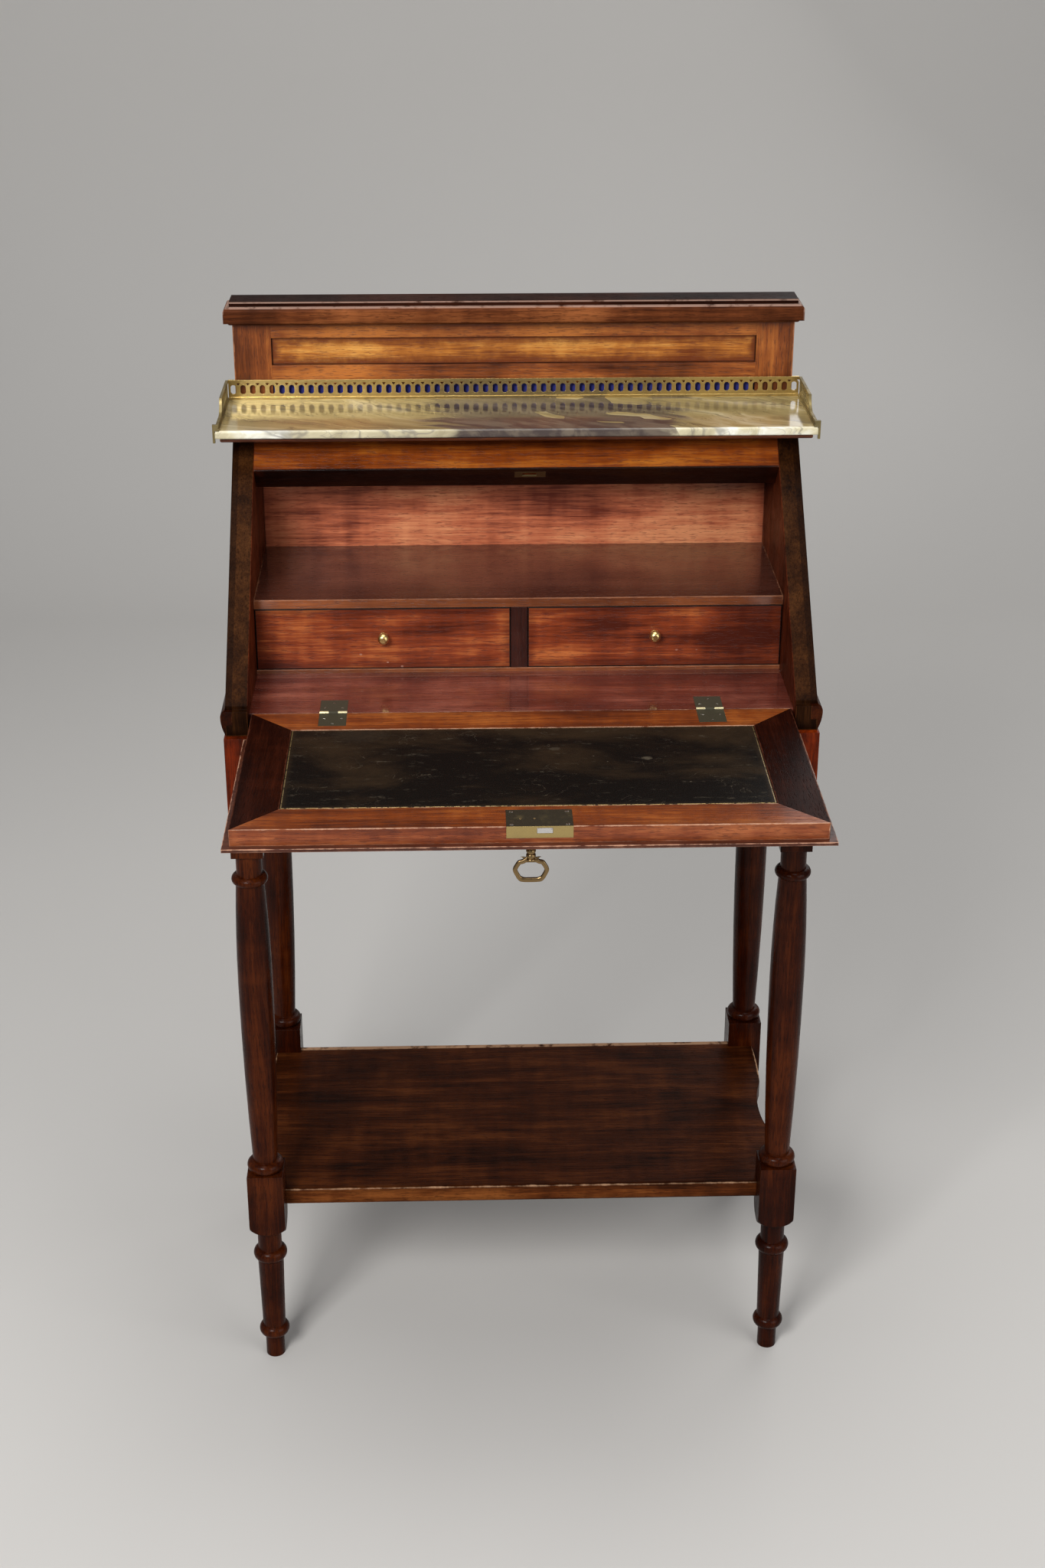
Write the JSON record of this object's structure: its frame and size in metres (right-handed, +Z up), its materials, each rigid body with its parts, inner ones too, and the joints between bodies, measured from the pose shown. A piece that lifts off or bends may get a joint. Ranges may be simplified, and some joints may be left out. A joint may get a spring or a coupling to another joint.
{
  "type": "slope-front writing desk",
  "caption": "Small slope-front writing desk on turned legs with a lower shelf, drop fall, two inner drawers, marble top with pierced gallery and a rising cloth screen.",
  "frame": {"origin": "on the floor, under the middle of the whole desk's box with its fall open and its screen down", "axes": "+X to the right of someone sitting at the desk, +Y to the desk's back, +Z up"},
  "size_m": [0.5868, 0.5605, 1.07],
  "materials": {
    "show_wood": "polished",
    "inner_wood": "waxed",
    "marble": "polished",
    "gallery_brass": "polished",
    "fitting_brass": "satin",
    "fitting_steel": "satin",
    "leather": "worn",
    "cloth": "matt"
  },
  "bodies": {
    "case": {"leg_front_left": "show_wood", "leg_front_right": "show_wood", "leg_back_left": "show_wood", "leg_back_right": "show_wood", "lower_shelf": "show_wood", "apron_front": "show_wood", "apron_back": "show_wood", "apron_left": "show_wood", "apron_right": "show_wood", "front_rail": "inner_wood", "side_left": "show_wood", "side_right": "show_wood", "waist_moulding_left": "show_wood", "waist_moulding_right": "show_wood", "writing_floor": "show_wood", "inner_back_panel": "show_wood", "case_back": "inner_wood", "slope_rail": "show_wood", "top_board": "inner_wood", "top_frame_front": "show_wood", "top_frame_left": "show_wood", "top_frame_right": "show_wood", "marble_top": "marble", "gallery_back": "gallery_brass", "gallery_left": "gallery_brass", "gallery_right": "gallery_brass", "nest_base": "show_wood", "nest_shelf": "show_wood", "nest_divider": "show_wood", "loper_runners": "inner_wood", "strike_plate": "fitting_brass", "hinge_leaves_floor": "fitting_brass", "hinge_pins": "fitting_steel"},
    "fall": {"fall_rail_front": "show_wood", "fall_rail_back": "show_wood", "fall_rail_left": "show_wood", "fall_rail_right": "show_wood", "fall_core": "inner_wood", "fall_leather": "leather", "fall_lip": "show_wood", "lock": "fitting_brass", "escutcheon": "fitting_brass", "hinge_leaves_fall": "fitting_brass"},
    "bolt": {"lock_bolt": "fitting_steel"},
    "key": {"key": "fitting_steel"},
    "drawer_left": {"drawer_left_front": "show_wood", "drawer_left_box": "inner_wood", "drawer_left_bottom": "inner_wood", "drawer_left_knob": "gallery_brass"},
    "drawer_right": {"drawer_right_front": "show_wood", "drawer_right_box": "inner_wood", "drawer_right_bottom": "inner_wood", "drawer_right_knob": "gallery_brass"},
    "screen": {"screen_frame": "show_wood", "screen_panel": "show_wood", "screen_cloth": "cloth", "screen_cap": "show_wood"},
    "loper_left": {"loper_left": "inner_wood"},
    "loper_right": {"loper_right": "inner_wood"}
  },
  "joints": [
    {"name": "fall_hinge", "type": "hinge", "parent": "case", "child": "fall", "pos_m": [0, -0.02345, 0.741], "axis": [-1, 0, 0], "range_deg": [0, 136]},
    {"name": "drawer_left_slide", "type": "slide", "parent": "case", "child": "drawer_left", "axis": [0, 1, 0], "range_m": [-0.1, 0]},
    {"name": "drawer_right_slide", "type": "slide", "parent": "case", "child": "drawer_right", "axis": [0, 1, 0], "range_m": [-0.1, 0]},
    {"name": "screen_slide", "type": "slide", "parent": "case", "child": "screen", "axis": [0, 0, 1], "range_m": [0, 0.26]},
    {"name": "loper_left_slide", "type": "slide", "parent": "case", "child": "loper_left", "axis": [0, 1, 0], "range_m": [0, 0.125]},
    {"name": "loper_right_slide", "type": "slide", "parent": "case", "child": "loper_right", "axis": [0, 1, 0], "range_m": [0, 0.125]},
    {"name": "key_turn", "type": "hinge", "parent": "fall", "child": "key", "pos_m": [0.001, -0.25645, 0.72], "axis": [0, 0, 1], "range_deg": [0, 360]},
    {"name": "lock_bolt_slide", "type": "slide", "parent": "fall", "child": "bolt", "axis": [0, -1, 0], "range_m": [0, 0.0073]}
  ],
  "couplings": [
    {"joint": "lock_bolt_slide", "follows": "key_turn", "m_per_rad": 0.0011141}
  ]
}
